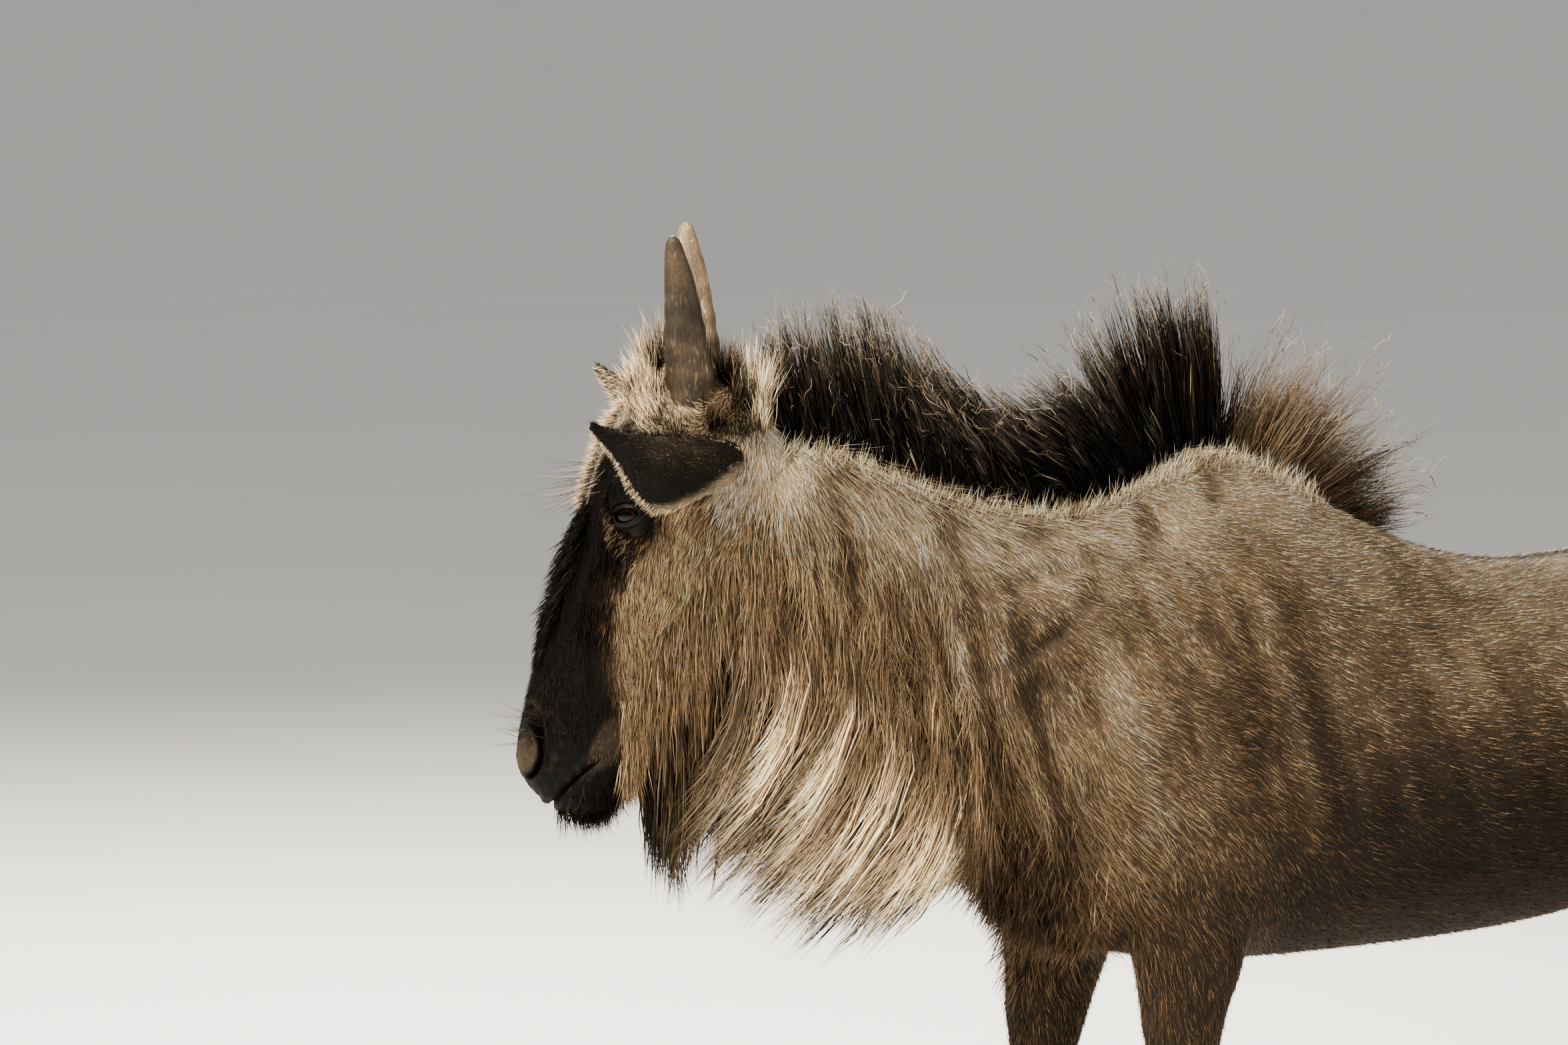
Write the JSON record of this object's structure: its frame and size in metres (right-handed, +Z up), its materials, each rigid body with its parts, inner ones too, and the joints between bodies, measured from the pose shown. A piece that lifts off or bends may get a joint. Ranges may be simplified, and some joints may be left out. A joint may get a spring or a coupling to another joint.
{
  "type": "wildebeest, standing museum model",
  "caption": "Life-size young wildebeest standing still, head turned to its right, with short straight horns, a dark upright mane and a long pale beard.",
  "frame": {"origin": "on the ground under the middle of the whole animal's bounding box", "axes": "-X the way the body faces, +Y its right side, +Z up"},
  "size_m": [1.4772, 0.464, 1.2358],
  "materials": {
    "hide": "short brindled coat over skin",
    "dark_hair": "long dark hair",
    "ear_skin": "short dark coat",
    "lower_leg": "short smooth coat",
    "eye": "wet and glossy",
    "horn": "horn with fine lengthwise grain",
    "hoof": "dark horn, slightly worn"
  },
  "bodies": {
    "root": {"torso": "hide", "neck": "hide", "head": "hide", "tail": "dark_hair", "eye_left": "eye", "horn_left": "horn", "ear_left": "ear_skin", "eye_right": "eye", "horn_right": "horn", "ear_right": "ear_skin", "foreleg_left_upper": "hide", "foreleg_left_lower": "lower_leg", "foreleg_left_claw_outer": "hoof", "foreleg_left_claw_inner": "hoof", "foreleg_right_upper": "hide", "foreleg_right_lower": "lower_leg", "foreleg_right_claw_outer": "hoof", "foreleg_right_claw_inner": "hoof", "hindleg_left_upper": "hide", "hindleg_left_lower": "lower_leg", "hindleg_left_claw_outer": "hoof", "hindleg_left_claw_inner": "hoof", "hindleg_right_upper": "hide", "hindleg_right_lower": "lower_leg", "hindleg_right_claw_outer": "hoof", "hindleg_right_claw_inner": "hoof"}
  },
  "joints": []
}
